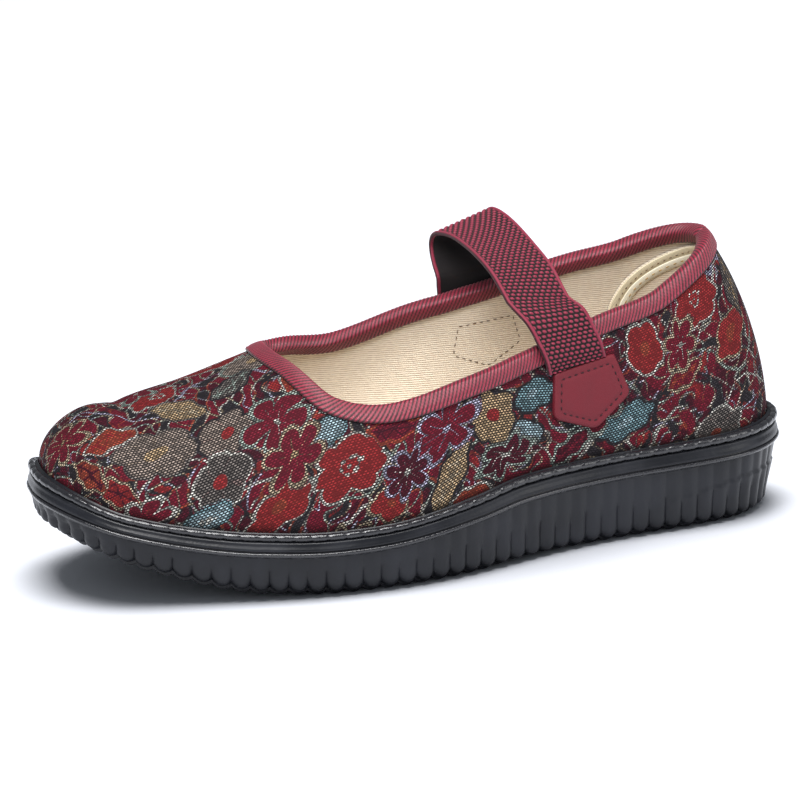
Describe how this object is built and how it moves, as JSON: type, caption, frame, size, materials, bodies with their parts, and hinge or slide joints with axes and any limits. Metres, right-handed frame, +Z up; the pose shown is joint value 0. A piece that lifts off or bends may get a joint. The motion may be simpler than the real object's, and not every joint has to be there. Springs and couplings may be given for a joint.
{
  "type": "cloth shoe",
  "caption": "Low cloth slip-on shoe for the left foot with a ribbed rubber cup sole, a bound collar and an elastic strap over the instep.",
  "frame": {"origin": "on the floor, under the middle of the shoe's box", "axes": "+X to the toe, +Y to the outer side of the left foot, +Z up"},
  "size_m": [0.2472, 0.092, 0.0995],
  "materials": {
    "black rubber": "matt moulded rubber",
    "jacquard cloth": "woven jacquard with flowers on a black ground",
    "cotton lining": "beige ribbed cotton",
    "burgundy tape": "satin binding with diagonal ribs",
    "burgundy elastic": "woven elastic",
    "burgundy leather": "matt synthetic leather",
    "cream tape": "cream webbing"
  },
  "bodies": {
    "root": {"outsole": "black rubber", "upper": "jacquard cloth", "insole": "cotton lining", "collar_binding": "burgundy tape", "strap": "burgundy elastic", "strap_tab_outer": "burgundy leather", "strap_tab_inner": "burgundy leather", "heel_grip": "cotton lining", "grip_tape": "cream tape"}
  },
  "joints": []
}
